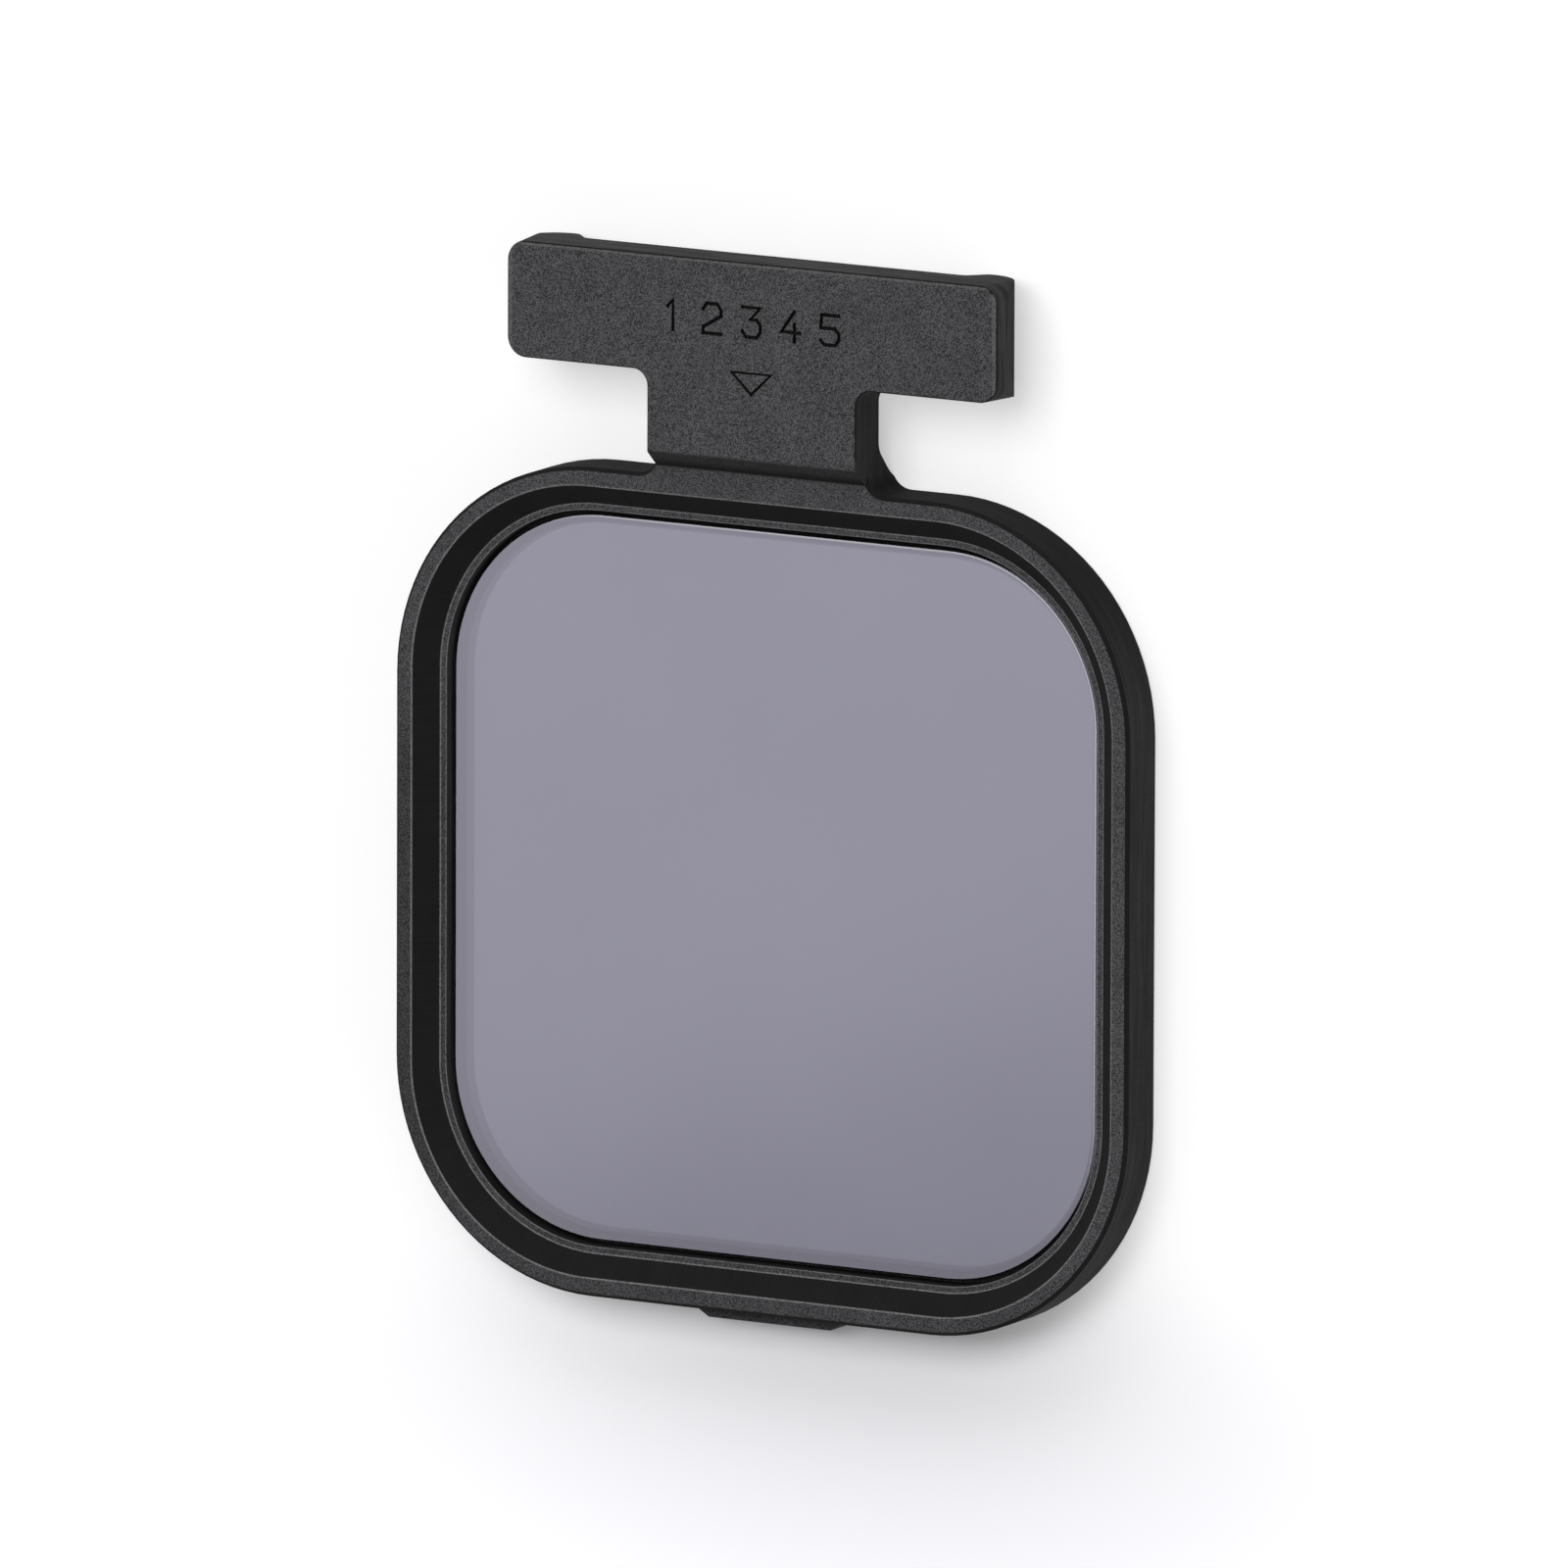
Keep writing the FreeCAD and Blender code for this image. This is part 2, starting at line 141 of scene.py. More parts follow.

# Thin edges carry painted highlights in patches. Each has its middle line, its half width and the
# levels that it is painted at.
EDGE_HIGHLIGHT_PATCHES = (0.3, 0.6)
EDGE_HIGHLIGHT_PATCH_SHARE = (0.4, 1.0)
RIM_HIGHLIGHT_WIDTH = 0.06 * MM
RIM_LEVELS = (FRAME_FRONT - 0.09 * MM, FRAME_FRONT - 0.03 * MM)
RING_HIGHLIGHT_WIDTH = 0.05 * MM
RING_HIGHLIGHT_DEPTH = 0.08 * MM
BAR_TOP_LINE = HIGH.y - 0.15 * MM
BAR_TOP_HIGHLIGHT_WIDTH = 0.09 * MM
BAR_END_LINE = BAR_HALF - 0.2 * MM
BAR_END_HIGHLIGHT_WIDTH = 0.16 * MM
BAR_LEVELS = (HANDLE_FRONT - 0.05 * MM, HANDLE_FRONT - 0.02 * MM)
BAR_HIGHLIGHT_SHARE = 0.8

# How much the surfaces shine. Black ones hardly do.
BLACK_SPECULAR = 0.06
BLACK_ROUGHNESS = 0.8
BLASTED_ROUGHNESS = (0.72, 0.82)
GLASS_ROUGHNESS = (0.075, 0.085)
GLASS_METAL = 0.45
GLASS_IOR = 1.5
NICKEL_ROUGHNESS = (0.22, 0.36)

# The other pieces' greys, and the linear colours of the glass and of the painted highlight along
# its rim.
GROOVE_GREYS = (0.004, 0.010)
FILM_GREYS = (0.012, 0.024)
NICKEL_GREYS = (0.50, 0.66)
NICKEL_BLUE = 0.96
GLASS_TONES = ((0.310, 0.302, 0.375, 1.0), (0.320, 0.312, 0.385, 1.0))
GLASS_RIM_HIGHLIGHT_TONE = (0.60, 0.60, 0.66, 1.0)
GLASS_RIM_HIGHLIGHT_WIDTH = 0.12 * MM
GLASS_RIM_HIGHLIGHT_CORNER = (4.0 * MM, 12.0 * MM)

# The engraved row of numbers and the pointer under it.
ROW_TOP = 26.57 * MM
DIGIT_HEIGHT = 1.8 * MM
DIGIT_WIDTH = 1.3 * MM
DIGIT_PITCH = 2.4 * MM
STROKE = 0.2 * MM
MITRE_LIMIT = 0.55
ENGRAVED_DEPTH = 0.2 * MM
CROSSING_DEPTH = ENGRAVED_DEPTH + 0.004 * MM
POINTER_TOP = 22.91 * MM
POINTER_HALF = 1.2 * MM
POINTER_HEIGHT = 1.14 * MM
POINTER_STROKE = 0.17 * MM
SHARP_ANGLE = 25.0

# Strokes of each number on a grid 1 wide and 1 high, from its lower left. A
# stroke that crosses the one before is cut after it.
FIRST_STROKES = [
    [(0.2, 0.78), (0.5, 1.0), (0.5, 0.0)],
    [
        (0.0, 0.8), (0.2, 1.0), (0.8, 1.0), (1.0, 0.8),
        (1.0, 0.6), (0.0, 0.2), (0.0, 0.0), (1.0, 0.0),
    ],
    [
        (0.0, 1.0), (1.0, 1.0), (0.45, 0.6), (0.8, 0.6), (1.0, 0.42),
        (1.0, 0.18), (0.8, 0.0), (0.2, 0.0), (0.0, 0.18),
    ],
    [(0.72, 1.0), (0.0, 0.3), (1.0, 0.3)],
    [
        (1.0, 1.0), (0.05, 1.0), (0.0, 0.56), (0.8, 0.56), (1.0, 0.38),
        (1.0, 0.18), (0.8, 0.0), (0.2, 0.0), (0.0, 0.14),
    ],
]
CROSSING_STROKES = [None, None, None, [(0.72, 0.58), (0.72, 0.0)], None]

# The floor is whitest beyond the filter's lower edge and takes a deeper shadow before it. The
# camera sees a glow that gathers away from the filter and is held low in a pool below its lower
# edge, a painted shadow.
FLOOR_HALF = 2.0
FLOOR_GAP = 0.02 * MM
FLOOR_SEAM = (-40.0 * MM, -15.0 * MM)
FLOOR_NEAR_GREYS = (0.832, 0.842)
FLOOR_NEAR_BLUE = 1.04
FLOOR_FAR_GREYS = (0.545, 0.555)
# A painted shadow: the camera's glow is held low in a pool below the filter's lower edge.
PAINTED_SHADOW_MIDDLE = Vector((4.0, -31.5, 0.0)) * MM
PAINTED_SHADOW_SHAPE = (1 / (30.0 * MM), 1 / (13.0 * MM), 0.0)
PAINTED_SHADOW_REACH = (0.0, 1.6)
PAINTED_SHADOW_GLOW = (0.03, 0.25)
FAR_GLOW_OUTSIDE_PAINTED_SHADOW = (0.1, 1.0)
FAR_GLOW = 0.49
MIRRORED_GLOW = (0.1, 0.44)

# A dim panel overhead. The camera sees its near edge mirrored at this place of
# the glass, along this way up from it.
PANEL_SEEN_AT = Vector((0.0, -16.5 * MM, 0.0))
PANEL_WAY = Vector((-0.5742, -0.2210, 1.0))
PANEL_HEIGHT = 1.0
PANEL_WIDTH = 1.2
PANEL_DEPTH = 0.9
PANEL_TURN = 20.0
PANEL_RADIANCE = 0.43


# Helpers for the node trees.

def shader_tree(name):
    """A new material, its nodes and its principled shader."""
    material = bpy.data.materials.new(name)
    material.use_nodes = True
    tree = material.node_tree
    return material, tree, tree.nodes["Principled BSDF"]


def feed(tree, value, socket):
    """Link a socket, or set a plain value."""
    if isinstance(value, bpy.types.NodeSocket):
        tree.links.new(value, socket)
    else:
        socket.default_value = value


def maths(tree, operation, first, second=0.0, clamp=False):
    node = tree.nodes.new("ShaderNodeMath")
    node.operation = operation
    node.use_clamp = clamp
    feed(tree, first, node.inputs[0])
    feed(tree, second, node.inputs[1])
    return node.outputs[0]


def vector_maths(tree, operation, first, second=(0.0, 0.0, 0.0), output="Vector"):
    node = tree.nodes.new("ShaderNodeVectorMath")
    node.operation = operation
    feed(tree, first, node.inputs[0])
    feed(tree, second, node.inputs[1])
    return node.outputs[output]


def scaled(tree, vector, factor):
    """A vector or a colour times a number."""
    result = vector_maths(tree, "SCALE", vector)
    feed(tree, factor, result.node.inputs["Scale"])
    return result


def blend_colour(tree, share, first, second):
    node = tree.nodes.new("ShaderNodeMix")
    node.data_type = "RGBA"
    feed(tree, share, node.inputs["Factor"])
    feed(tree, first, node.inputs["A"])
    feed(tree, second, node.inputs["B"])
    return node.outputs["Result"]


def noise(tree, place, scale, detail=2.0, roughness=0.5):
    node = tree.nodes.new("ShaderNodeTexNoise")
    node.inputs["Scale"].default_value = scale
    node.inputs["Detail"].default_value = detail
    node.inputs["Roughness"].default_value = roughness
    feed(tree, place, node.inputs["Vector"])
    return node.outputs[0]


def between(tree, value, limits, ends=WHOLE):
    """The value's place between two limits, clamped, smoothed and carried to two ends."""
    node = tree.nodes.new("ShaderNodeMapRange")
    node.interpolation_type = "SMOOTHSTEP"
    feed(tree, value, node.inputs["Value"])
    node.inputs["From Min"].default_value, node.inputs["From Max"].default_value = limits
    node.inputs["To Min"].default_value, node.inputs["To Max"].default_value = ends
    return node.outputs[0]


def near(tree, value, target, width):
    """One at the target, and nothing beyond this distance from it."""
    gap = maths(tree, "ABSOLUTE", maths(tree, "SUBTRACT", value, target))
    return between(tree, gap, (EDGE_CORE * width, width), FALLS)


def bump(tree, height, distance, strength):
    node = tree.nodes.new("ShaderNodeBump")
    node.inputs["Strength"].default_value = strength
    node.inputs["Distance"].default_value = distance
    feed(tree, height, node.inputs["Height"])
    return node.outputs[0]


def grey(value, blue=1.0):
    return (value, value, value * blue, 1.0)


def grain_colour(tree, share, greys, blue=1.0):
    """A grain's colour, from its darkest to its palest grey."""
    darkest, palest = greys
    return blend_colour(tree, share, grey(darkest, blue), grey(palest, blue))


def object_place(tree):
    return tree.nodes.new("ShaderNodeTexCoord").outputs["Object"]


def facing(tree):
    """The surface's own direction, before any bump."""
    return tree.nodes.new("ShaderNodeNewGeometry").outputs["Normal"]


def axis(tree, vector, name):
    node = tree.nodes.new("ShaderNodeSeparateXYZ")
    feed(tree, vector, node.inputs[0])
    return node.outputs[name]


def window_place(tree, place):
    """A point's rounded square round the window, and its place along that outline.

    The first is half the side of the rounded square that the point lies on. The
    second is the nearest point of the slope's foot, the same all across the slope.
    """
    offset = vector_maths(tree, "SUBTRACT", place, tuple(WINDOW_MIDDLE))
    beyond = vector_maths(tree, "ABSOLUTE", offset)
    beyond = vector_maths(tree, "SUBTRACT", beyond, (CORNER_CENTRE, CORNER_CENTRE, 1.0))
    beyond = vector_maths(tree, "MAXIMUM", beyond, (0.0, 0.0, 0.0))
    reach = vector_maths(tree, "LENGTH", beyond, output="Value")
    half = maths(tree, "ADD", reach, CORNER_CENTRE)
    outward = vector_maths(tree, "NORMALIZE", beyond)
    outward = vector_maths(tree, "MULTIPLY", outward, vector_maths(tree, "SIGN", offset))
    step = scaled(tree, outward, maths(tree, "SUBTRACT", half, RING_OUTER_HALF))
    along = vector_maths(tree, "SUBTRACT", offset, step)
    return half, vector_maths(tree, "MULTIPLY", along, (1.0, 1.0, 0.0))


# The materials.

def blasted_colour(tree, place, speckle):
    """The bead-blasted grain of the flat faces, with painted shade low down the left side and
    along the lower edge.
    """
    colour = grain_colour(tree, between(tree, speckle, NOISE_RANGE), BLASTED_GREYS, BLASTED_BLUE)
    # Painted shade, darker low down the left side and along the lower edge.
    left = between(tree, axis(tree, place, "X"), PAINTED_SHADE_LEFT_X, FALLS)
    below = between(tree, axis(tree, place, "Y"), PAINTED_SHADE_LEFT_Y, FALLS)
    painted_shade_down_left = maths(tree, "MULTIPLY", left, below)
    painted_shade_down_left = maths(tree, "MULTIPLY", painted_shade_down_left, PAINTED_SHADE_LEFT_SHARE)
    painted_shade_at_foot = between(tree, axis(tree, place, "Y"), PAINTED_SHADE_FOOT_Y, (PAINTED_SHADE_FOOT_SHARE, 0.0))
    painted_shade = maths(tree, "MAXIMUM", painted_shade_down_left, painted_shade_at_foot)
    return scaled(tree, colour, maths(tree, "SUBTRACT", 1.0, painted_shade))


def milled_colour(tree, place, speckle):
    """Cutter lines on the walls, with painted shade where a wall of the frame itself faces up."""
    layers = vector_maths(tree, "MULTIPLY", place, CUTTER_LINE_STRETCH)
    lines = between(tree, noise(tree, layers, scale=2500.0, detail=3.0), NOISE_RANGE)
    on_handle = between(tree, axis(tree, place, "Y"), HANDLE_FOOT)
    line_share = between(tree, on_handle, WHOLE, (FRAME_LINE_SHARE, 1.0))
    lines = maths(tree, "MULTIPLY", lines, line_share)
    grain = maths(tree, "MULTIPLY", between(tree, speckle, NOISE_RANGE), WALL_GRAIN_SHARE)
    colour = grain_colour(tree, maths(tree, "ADD", lines, grain), MILLED_GREYS)
    # Painted shade where a wall faces up, kept light on the handle.
    painted_shade_upward = between(tree, axis(tree, facing(tree), "Y"), PAINTED_SHADE_WALL_LEAN, (1.0, PAINTED_SHADE_WALL_LEVEL))
    lit = maths(tree, "MAXIMUM", painted_shade_upward, maths(tree, "MULTIPLY", on_handle, HANDLE_WALL_PAINTED_SHADE_LEVEL))
    return scaled(tree, colour, lit)


def sloped_colour(tree, place, along, blasted):
    """Short ticks across the slope, and painted shade on the handle's front jog, dark at its foot
    and blasted toward its crest.
    """
    ticks = noise(tree, along, scale=15000.0, detail=1.0)
    colour = grain_colour(tree, between(tree, ticks, NOISE_RANGE), SLOPED_GREYS)
    # Painted shade: the jog is dark at its foot and lighter toward its crest.
    crest = between(tree, axis(tree, place, "Z"), JOG_PAINTED_SHADE_RISE)
    jog_painted_shade_lift = between(tree, axis(tree, place, "Y"), JOG_PAINTED_SHADE_FADE, FALLS)
    jog_painted_shade_lift = maths(tree, "MULTIPLY", maths(tree, "MULTIPLY", crest, jog_painted_shade_lift), JOG_PAINTED_SHADE_SHARE)
    return blend_colour(tree, jog_painted_shade_lift, colour, blasted)


def painted_edge_highlights(tree, tone, place, half, speckle):
    """The tone with painted highlights in patches along the slope's rim, the ring's edges and the
    bar's.
    """
    height = axis(tree, place, "Z")
    highlight_patches = between(tree, speckle, EDGE_HIGHLIGHT_PATCHES, EDGE_HIGHLIGHT_PATCH_SHARE)

    rim = near(tree, half, SLOPE_HALF, RIM_HIGHLIGHT_WIDTH)
    rim = maths(tree, "MULTIPLY", rim, between(tree, height, RIM_LEVELS))
    ring = maths(
        tree, "MAXIMUM",
        near(tree, half, RING_OUTER_HALF, RING_HIGHLIGHT_WIDTH),
        near(tree, half, RING_INNER_HALF, RING_HIGHLIGHT_WIDTH),
    )
    ring = maths(tree, "MULTIPLY", ring, near(tree, height, RING_LEVEL, RING_HIGHLIGHT_DEPTH))
    pale = maths(tree, "MULTIPLY", maths(tree, "MAXIMUM", rim, ring), highlight_patches)
    tone = blend_colour(tree, pale, tone, grey(EDGE_HIGHLIGHT_GREY, EDGE_HIGHLIGHT_BLUE))

    sideways = maths(tree, "ABSOLUTE", axis(tree, place, "X"))
    bar = maths(
        tree, "MAXIMUM",
        near(tree, axis(tree, place, "Y"), BAR_TOP_LINE, BAR_TOP_HIGHLIGHT_WIDTH),
        near(tree, sideways, BAR_END_LINE, BAR_END_HIGHLIGHT_WIDTH),
    )
    bar = maths(tree, "MULTIPLY", bar, between(tree, height, BAR_LEVELS))
    bar = maths(tree, "MULTIPLY", maths(tree, "MULTIPLY", bar, highlight_patches), BAR_HIGHLIGHT_SHARE)
    return blend_colour(tree, bar, tone, grey(BAR_EDGE_HIGHLIGHT_GREY, EDGE_HIGHLIGHT_BLUE))


def anodised():
    """Black anodising: blasted on flat faces, milled on walls, smooth on slopes, with painted
    shade and painted edge highlights.
    """
    material, tree, shader = shader_tree("anodised_aluminium")
    place = object_place(tree)
    half, along = window_place(tree, place)
    speckle = vector_maths(tree, "ADD", place, SPECKLE_SHIFT)
    speckle = noise(tree, speckle, SPECKLE_SCALE, detail=0.0)
    blasted = blasted_colour(tree, place, speckle)

    lean = maths(tree, "ABSOLUTE", axis(tree, facing(tree), "Z"))
    flat = between(tree, lean, FLAT_LEAN)
    tone = blend_colour(tree, flat, sloped_colour(tree, place, along, blasted), blasted)
    wall = between(tree, lean, WALL_LEAN, FALLS)
    tone = blend_colour(tree, wall, tone, milled_colour(tree, place, speckle))
    mottle = noise(tree, place, scale=420.0, detail=3.0, roughness=0.6)
    tone = scaled(tree, tone, between(tree, mottle, NOISE_RANGE, MOTTLE_SHADES))
    # Painted highlights along the thin edges.
    tone = painted_edge_highlights(tree, tone, place, half, speckle)

    feed(tree, tone, shader.inputs["Base Color"])
    shader.inputs["Specular IOR Level"].default_value = BLACK_SPECULAR
    roughness = between(tree, speckle, (0.2, 0.8), BLASTED_ROUGHNESS)
    feed(tree, roughness, shader.inputs["Roughness"])
    grain = maths(tree, "MULTIPLY", speckle, flat)
    feed(tree, bump(tree, grain, distance=0.02 * MM, strength=0.5), shader.inputs["Normal"])
    return material


def groove_black():
    """The black bottom of the engraved marks."""
    material, tree, shader = shader_tree("engraved_black")
    grain = noise(tree, object_place(tree), scale=8000.0)
    tone = grain_colour(tree, between(tree, grain, (0.35, 0.65)), GROOVE_GREYS)
    feed(tree, tone, shader.inputs["Base Color"])
    shader.inputs["Specular IOR Level"].default_value = BLACK_SPECULAR
    shader.inputs["Roughness"].default_value = BLACK_ROUGHNESS
    feed(tree, bump(tree, grain, distance=0.01 * MM, strength=0.4), shader.inputs["Normal"])
    return material


def coated_glass():
    """Grey glass with mirror-like coatings, clear enough to show what lies under it."""
    material, tree, shader = shader_tree("coated_grey_glass")
    place = object_place(tree)
    haze = noise(tree, place, scale=60.0)
    tone = blend_colour(tree, between(tree, haze, NOISE_RANGE), *GLASS_TONES)
    # A painted highlight along the rim at the upper right of the window.
    half, along = window_place(tree, place)
    upper_right = maths(tree, "ADD", axis(tree, along, "X"), axis(tree, along, "Y"))
    upper_right = between(tree, upper_right, GLASS_RIM_HIGHLIGHT_CORNER)
    rim = near(tree, half, GLASS_RIM_HALF, GLASS_RIM_HIGHLIGHT_WIDTH)
    painted_rim_highlight = maths(tree, "MULTIPLY", rim, upper_right)
    tone = blend_colour(tree, painted_rim_highlight, tone, GLASS_RIM_HIGHLIGHT_TONE)
    feed(tree, tone, shader.inputs["Base Color"])
    shader.inputs["Metallic"].default_value = GLASS_METAL
    shader.inputs["Transmission Weight"].default_value = 1.0
    shader.inputs["IOR"].default_value = GLASS_IOR
    feed(tree, between(tree, haze, NOISE_RANGE, GLASS_ROUGHNESS), shader.inputs["Roughness"])
    return material


def black_film():
    material, tree, shader = shader_tree("black_film")
    grain = noise(tree, object_place(tree), scale=4000.0, detail=3.0)
    feed(tree, grain_colour(tree, grain, FILM_GREYS), shader.inputs["Base Color"])
    shader.inputs["Roughness"].default_value = BLACK_ROUGHNESS
    feed(tree, bump(tree, grain, distance=0.01 * MM, strength=0.4), shader.inputs["Normal"])
    return material


def plated_nickel():
    """Nickel plating with the faint lines that barrel plating leaves."""
    material, tree, shader = shader_tree("plated_nickel")
    stretched = vector_maths(tree, "MULTIPLY", object_place(tree), (1.0, 0.12, 1.0))
    lines = noise(tree, stretched, scale=9000.0, detail=3.0)
    tone = grain_colour(tree, lines, NICKEL_GREYS, NICKEL_BLUE)
    feed(tree, tone, shader.inputs["Base Color"])
    shader.inputs["Metallic"].default_value = 1.0
    feed(tree, between(tree, lines, NOISE_RANGE, NICKEL_ROUGHNESS), shader.inputs["Roughness"])
    feed(tree, bump(tree, lines, distance=0.004 * MM, strength=0.4), shader.inputs["Normal"])
    return material


def dress(node, material):
    mesh = NODES[node].data
    mesh.materials.clear()
    mesh.materials.append(material)


# The marks cut into the handle's front.

def stroke_band(points, width, closed=False):
    """The two mitred sides of a stroke along these points."""
    count = len(points)
    left, right = [], []
    for i, point in enumerate(points):
        before = points[i - 1] if closed or i else None
        after = points[(i + 1) % count] if closed or i < count - 1 else None
        ways = []
        if before is not None:
            ways.append((point - before).normalized())
        if after is not None:
            ways.append((after - point).normalized())
        along = sum(ways, Vector((0.0, 0.0))).normalized()
        side = Vector((-along.y, along.x))
        reach = width / 2 / max(MITRE_LIMIT, abs(along.dot(ways[0])))
        ends = Vector((0.0, 0.0))
        if not closed and i == 0:
            ends = -ways[0] * width / 2
        if not closed and i == count - 1:
            ends = ways[0] * width / 2
        left.append(point + side * reach + ends)
        right.append(point - side * reach + ends)
    return left, right


def add_groove(vertices, faces, points, width, floor, top, closed=False):
    """Add a closed prism along a stroke, between two heights."""
    left, right = stroke_band(points, width, closed)
    count = len(points)
    start = len(vertices)
    for level in (floor, top):
        vertices.extend((p.x, p.y, level) for p in left)
        vertices.extend((p.x, p.y, level) for p in right)

    def corner(level, side, i):
        return start + level * 2 * count + side * count + i % count

    spans = count if closed else count - 1
    for i in range(spans):
        j = i + 1
        faces.append([corner(0, 0, i), corner(0, 0, j), corner(0, 1, j), corner(0, 1, i)])
        faces.append([corner(1, 0, i), corner(1, 1, i), corner(1, 1, j), corner(1, 0, j)])
        faces.append([corner(0, 0, j), corner(0, 0, i), corner(1, 0, i), corner(1, 0, j)])
        faces.append([corner(0, 1, i), corner(0, 1, j), corner(1, 1, j), corner(1, 1, i)])
    if not closed:
        last = count - 1
        faces.append([corner(0, 0, 0), corner(0, 1, 0), corner(1, 1, 0), corner(1, 0, 0)])
        faces.append([
            corner(0, 1, last), corner(0, 0, last), corner(1, 0, last), corner(1, 1, last),
        ])


def digit_point(number, x, y):
    """A point of a number's grid, in its place on the handle."""
    left = (number - (len(FIRST_STROKES) - 1) / 2) * DIGIT_PITCH - DIGIT_WIDTH / 2
    bottom = ROW_TOP - DIGIT_HEIGHT
    inset = STROKE / 2
    return Vector((
        left + inset + x * (DIGIT_WIDTH - STROKE),
        bottom + inset + y * (DIGIT_HEIGHT - STROKE),
    ))


def engraving_cutter(material, strokes, depth, pointer):
    """These strokes as prisms that stand through the handle's front."""
    vertices, faces = [], []
    floor = HANDLE_FRONT - depth
    top = HANDLE_FRONT + depth
    for number, stroke in enumerate(strokes):
        if stroke:
            points = [digit_point(number, x, y) for x, y in stroke]
            add_groove(vertices, faces, points, STROKE, floor, top)
    if pointer:
        corners = [
            Vector((-POINTER_HALF, POINTER_TOP)),
            Vector((0.0, POINTER_TOP - POINTER_HEIGHT)),
            Vector((POINTER_HALF, POINTER_TOP)),
        ]
        add_groove(vertices, faces, corners, POINTER_STROKE, floor, top, closed=True)
    mesh = bpy.data.meshes.new("engraving_cutter")
    mesh.from_pydata(vertices, [], faces)
    mesh.materials.append(material)
    cutter = bpy.data.objects.new("engraving_cutter", mesh)
    bpy.context.scene.collection.objects.link(cutter)
    return cutter


def cut_away(piece, cutter):
    """Cut one object out of another and apply the cut."""
    cut = piece.modifiers.new("engraving", "BOOLEAN")
    cut.operation = "DIFFERENCE"
    cut.solver = "EXACT"
    cut.material_mode = "TRANSFER"
    cut.object = cutter
    bpy.context.view_layer.update()
    shown = piece.evaluated_get(bpy.context.evaluated_depsgraph_get())
    piece_mesh = bpy.data.meshes.new_from_object(shown)
    piece.modifiers.clear()
    piece.data = piece_mesh
    bpy.data.objects.remove(cutter)


def engraved_frame(material, groove_material):
    """The CAD frame with the marks cut into its handle."""
    piece = bpy.data.objects.new("engraved_frame", NODES["filter_frame"].data.copy())
    bpy.context.scene.collection.objects.link(piece)
    piece.data.materials.clear()
    piece.data.materials.append(material)
    for strokes, depth, pointer in (
        (FIRST_STROKES, ENGRAVED_DEPTH, True),
        (CROSSING_STROKES, CROSSING_DEPTH, False),
    ):
        cut_away(piece, engraving_cutter(groove_material, strokes, depth, pointer))
    mesh = piece.data
    if "custom_normal" in mesh.attributes:
        mesh.attributes.remove(mesh.attributes["custom_normal"])
    mesh.shade_smooth()
    mesh.set_sharp_from_angle(angle=math.radians(SHARP_ANGLE))
    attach(piece, "root")
    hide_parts("filter_frame")


# The room: floor, world, lamps and camera.

def floor_material():
    """Pale and matt, with a glow of its own that is plainer in the glass than to the camera, and a
    painted shadow where the camera's glow is held low below the filter.
    """
    material = bpy.data.materials.new("pale_floor")
    material.use_nodes = True
    tree = material.node_tree
    tree.nodes.clear()
    place = object_place(tree)
    cloud = noise(tree, place, scale=12.0)
    behind = between(tree, axis(tree, place, "Y"), FLOOR_SEAM)
    near_tone = grain_colour(tree, cloud, FLOOR_NEAR_GREYS, FLOOR_NEAR_BLUE)
    far_tone = grain_colour(tree, cloud, FLOOR_FAR_GREYS)
    diffuse = tree.nodes.new("ShaderNodeBsdfDiffuse")
    feed(tree, blend_colour(tree, behind, near_tone, far_tone), diffuse.inputs["Color"])

    # A painted shadow: the camera's glow is held low in a pool below the filter's lower edge.
    painted_shadow_pool = vector_maths(tree, "SUBTRACT", place, tuple(PAINTED_SHADOW_MIDDLE))
    painted_shadow_pool = vector_maths(tree, "MULTIPLY", painted_shadow_pool, PAINTED_SHADOW_SHAPE)
    painted_shadow_pool = vector_maths(tree, "LENGTH", painted_shadow_pool, output="Value")
    painted_shadow_glow_near = between(tree, painted_shadow_pool, PAINTED_SHADOW_REACH, PAINTED_SHADOW_GLOW)
    far_share = maths(tree, "MULTIPLY", behind, between(tree, painted_shadow_pool, FAR_GLOW_OUTSIDE_PAINTED_SHADOW))
    glow_far = maths(tree, "SUBTRACT", FAR_GLOW, painted_shadow_glow_near)
    glow_far = maths(tree, "MULTIPLY", glow_far, far_share)
    path = tree.nodes.new("ShaderNodeLightPath")
    direct = maths(tree, "ADD", painted_shadow_glow_near, glow_far)
    direct = maths(tree, "MULTIPLY", path.outputs["Is Camera Ray"], direct)
    mirrored = maths(
        tree, "ADD", path.outputs["Is Glossy Ray"], path.outputs["Is Transmission Ray"],
        clamp=True,
    )
    mirrored = maths(tree, "MULTIPLY", mirrored, between(tree, behind, WHOLE, MIRRORED_GLOW))
    glow = tree.nodes.new("ShaderNodeEmission")
    feed(tree, maths(tree, "ADD", direct, mirrored), glow.inputs["Strength"])

    both = tree.nodes.new("ShaderNodeAddShader")
    out = tree.nodes.new("ShaderNodeOutputMaterial")
    tree.links.new(diffuse.outputs[0], both.inputs[0])
    tree.links.new(glow.outputs[0], both.inputs[1])
    tree.links.new(both.outputs[0], out.inputs["Surface"])
    return material


def pale_floor():
    """A floor just under the filter."""
    turns = [(-1, -1), (1, -1), (1, 1), (-1, 1)]
    mesh = bpy.data.meshes.new("floor")
    mesh.from_pydata([(x * FLOOR_HALF, y * FLOOR_HALF, 0.0) for x, y in turns], [], [(0, 1, 2, 3)])
    mesh.materials.append(floor_material())
    floor = bpy.data.objects.new("floor", mesh)
    floor.location.z = LOW.z - FLOOR_GAP
    bpy.context.scene.collection.objects.link(floor)


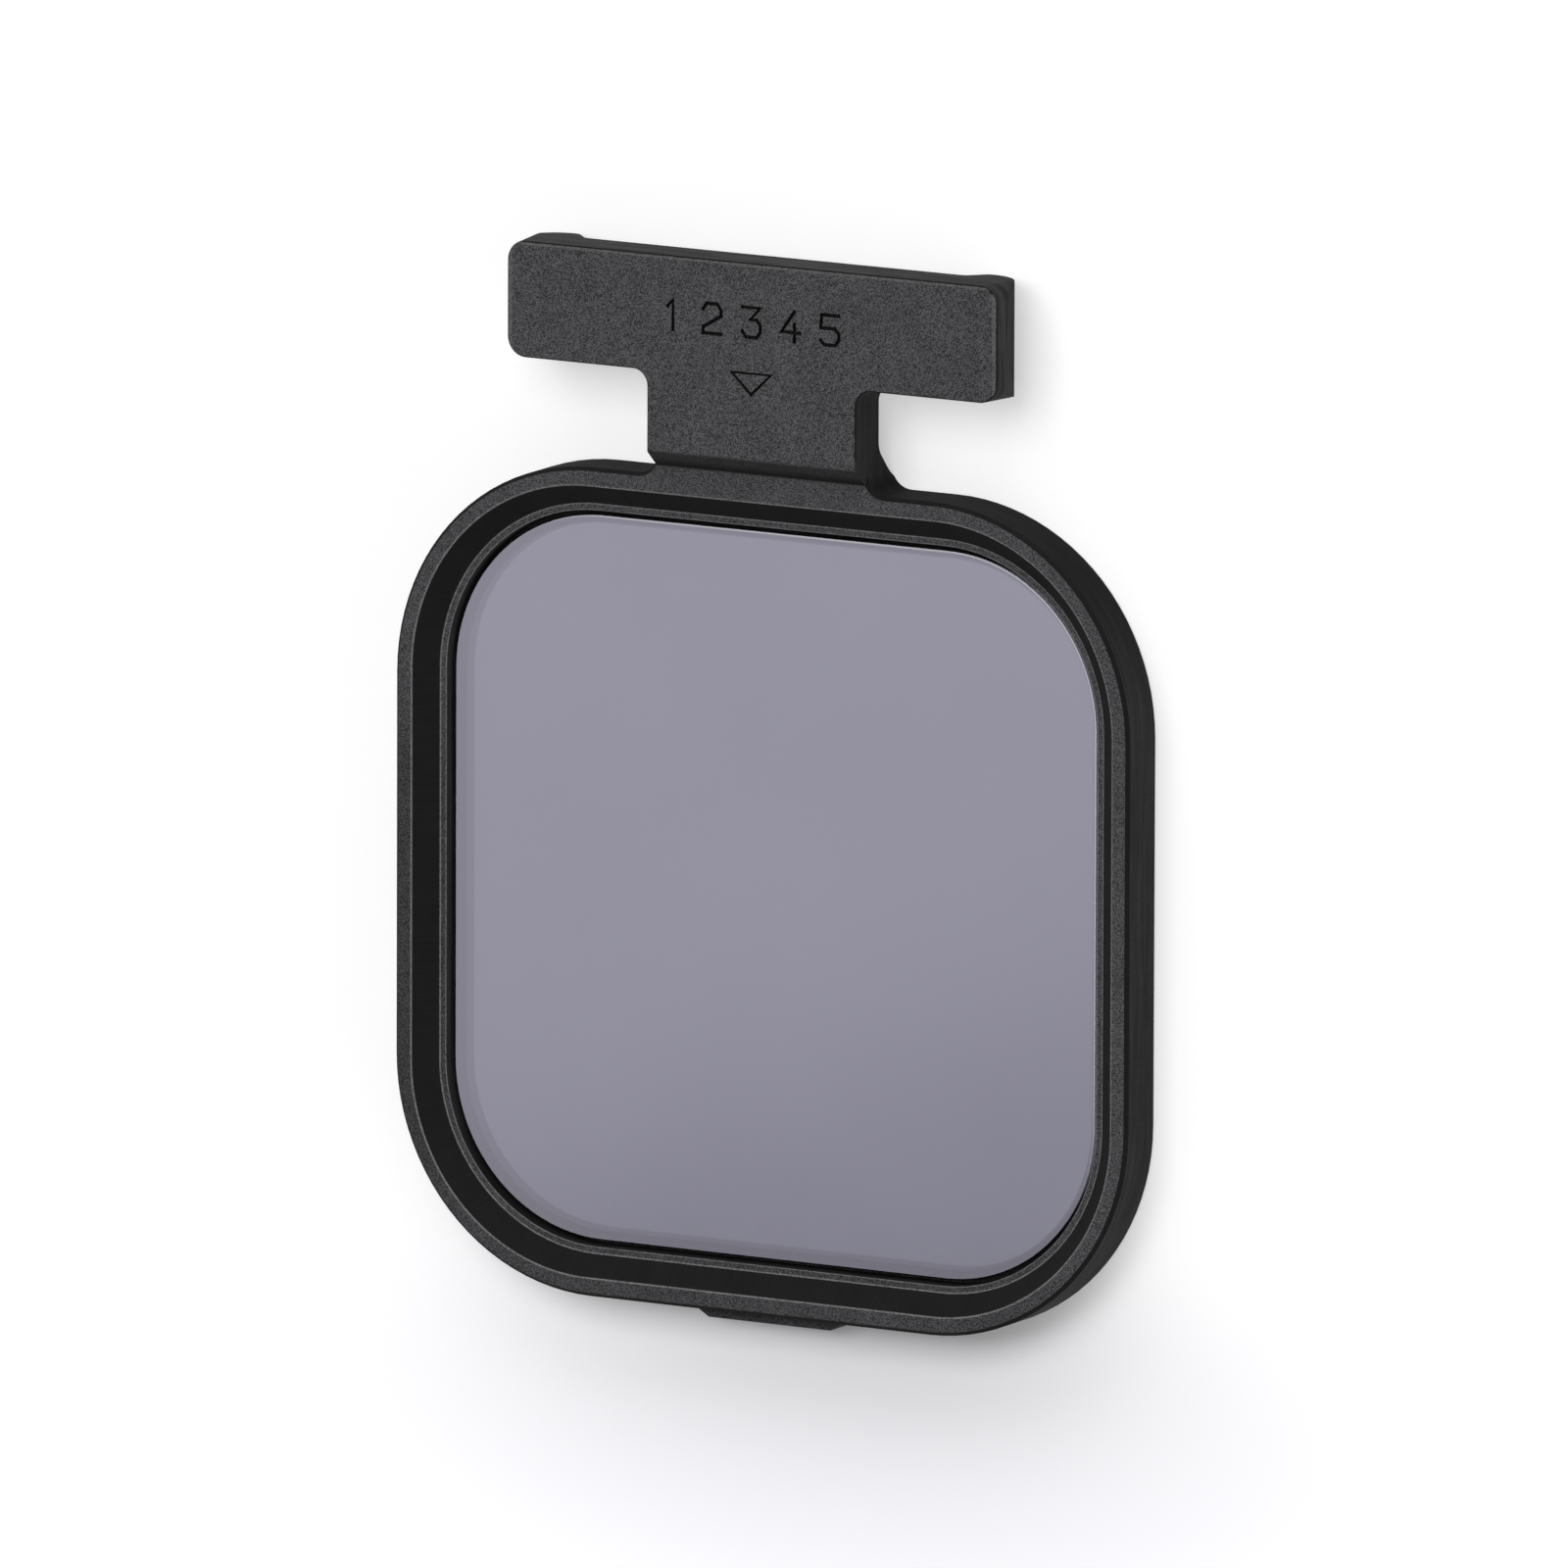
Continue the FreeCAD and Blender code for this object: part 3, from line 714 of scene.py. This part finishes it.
def pale_world(lit):
    """White where it is seen, mirrored or looked through to, and dimmer as a lamp."""
    world = bpy.data.worlds.new("pale_room")
    bpy.context.scene.world = world
    world.use_nodes = True
    tree = world.node_tree
    background = tree.nodes["Background"]
    background.inputs["Color"].default_value = (1.0, 1.0, 1.0, 1.0)
    path = tree.nodes.new("ShaderNodeLightPath")
    seen = maths(tree, "ADD", path.outputs["Is Camera Ray"], path.outputs["Is Glossy Ray"])
    seen = maths(tree, "ADD", seen, path.outputs["Is Transmission Ray"], clamp=True)
    feed(tree, between(tree, seen, WHOLE, (lit, 1.0)), background.inputs["Strength"])


def area_lamp(name, width, height, radiance):
    """A rectangular lamp whose face has this radiance."""
    light = bpy.data.lights.new(name, "AREA")
    light.shape = "RECTANGLE"
    light.size = width
    light.size_y = height
    light.energy = radiance * math.pi * width * height
    lamp = bpy.data.objects.new(name, light)
    bpy.context.scene.collection.objects.link(lamp)
    return lamp


def softbox(name, way, distance, width, height, radiance):
    """A lamp that faces the window from this way off it."""
    lamp = area_lamp(name, width, height, radiance)
    way = Vector(way).normalized()
    turn = way.to_track_quat("Z", "Y").to_matrix().to_4x4()
    lamp.matrix_world = Matrix.Translation(WINDOW_MIDDLE + way * distance) @ turn


def reflected_panel():
    """A dim panel overhead whose edge the glass mirrors across its lower right corner."""
    lamp = area_lamp("reflected_panel", PANEL_WIDTH, PANEL_DEPTH, PANEL_RADIANCE)
    turn = math.radians(PANEL_TURN)
    inward = Vector((-math.sin(turn), math.cos(turn), 0.0))
    edge = PANEL_SEEN_AT + PANEL_WAY * PANEL_HEIGHT
    lamp.location = edge + inward * PANEL_DEPTH / 2
    lamp.rotation_euler.z = turn


def photo_camera():
    a = math.radians(CAMERA_AZIMUTH)
    e = math.radians(CAMERA_TILT)
    roll = math.radians(CAMERA_ROLL)
    toward = Vector((math.sin(a) * math.cos(e), math.sin(e), math.cos(a) * math.cos(e)))
    right = Vector((math.cos(a), 0.0, -math.sin(a)))
    up = toward.cross(right)
    turned_right = right * math.cos(roll) - up * math.sin(roll)
    turned_up = right * math.sin(roll) + up * math.cos(roll)
    anchor = Vector((0.0, WINDOW_MIDDLE.y, FRAME_FRONT))
    place = anchor + toward * CAMERA_DISTANCE
    target = anchor + turned_right * AIM_RIGHT + turned_up * AIM_UP
    back = (place - target).normalized()
    side = turned_up.cross(back).normalized()
    top = back.cross(side)
    turn = Matrix((side, top, back)).transposed().to_4x4()
    camera = bpy.data.objects.new("camera", bpy.data.cameras.new("camera"))
    camera.matrix_world = Matrix.Translation(place) @ turn
    view_width = VIEW_PIXELS / PIXELS_PER_MM * MM
    camera.data.sensor_width = SENSOR_WIDTH
    camera.data.lens = SENSOR_WIDTH * CAMERA_DISTANCE / view_width
    camera.data.clip_start, camera.data.clip_end = CAMERA_CLIP
    bpy.context.scene.collection.objects.link(camera)
    bpy.context.scene.camera = camera


engraved_frame(anodised(), groove_black())
dress("nd_glass", coated_glass())
dress("adhesive_film", black_film())
nickel = plated_nickel()
for side in ("top", "bottom", "left", "right"):
    dress("magnet_" + side, nickel)

pale_floor()
pale_world(lit=0.25)
softbox("key_light", way=(0.0, 0.5, 1.0), distance=1.2, width=1.0, height=0.7, radiance=4.3)
softbox("back_light", way=(-0.1, 1.0, 0.4), distance=1.3, width=1.4, height=0.5, radiance=2.5)
softbox("side_light", way=(1.0, -0.5, 0.35), distance=1.3, width=1.0, height=0.5, radiance=3.0)
reflected_panel()
photo_camera()
bpy.context.scene.view_settings.view_transform = "Standard"
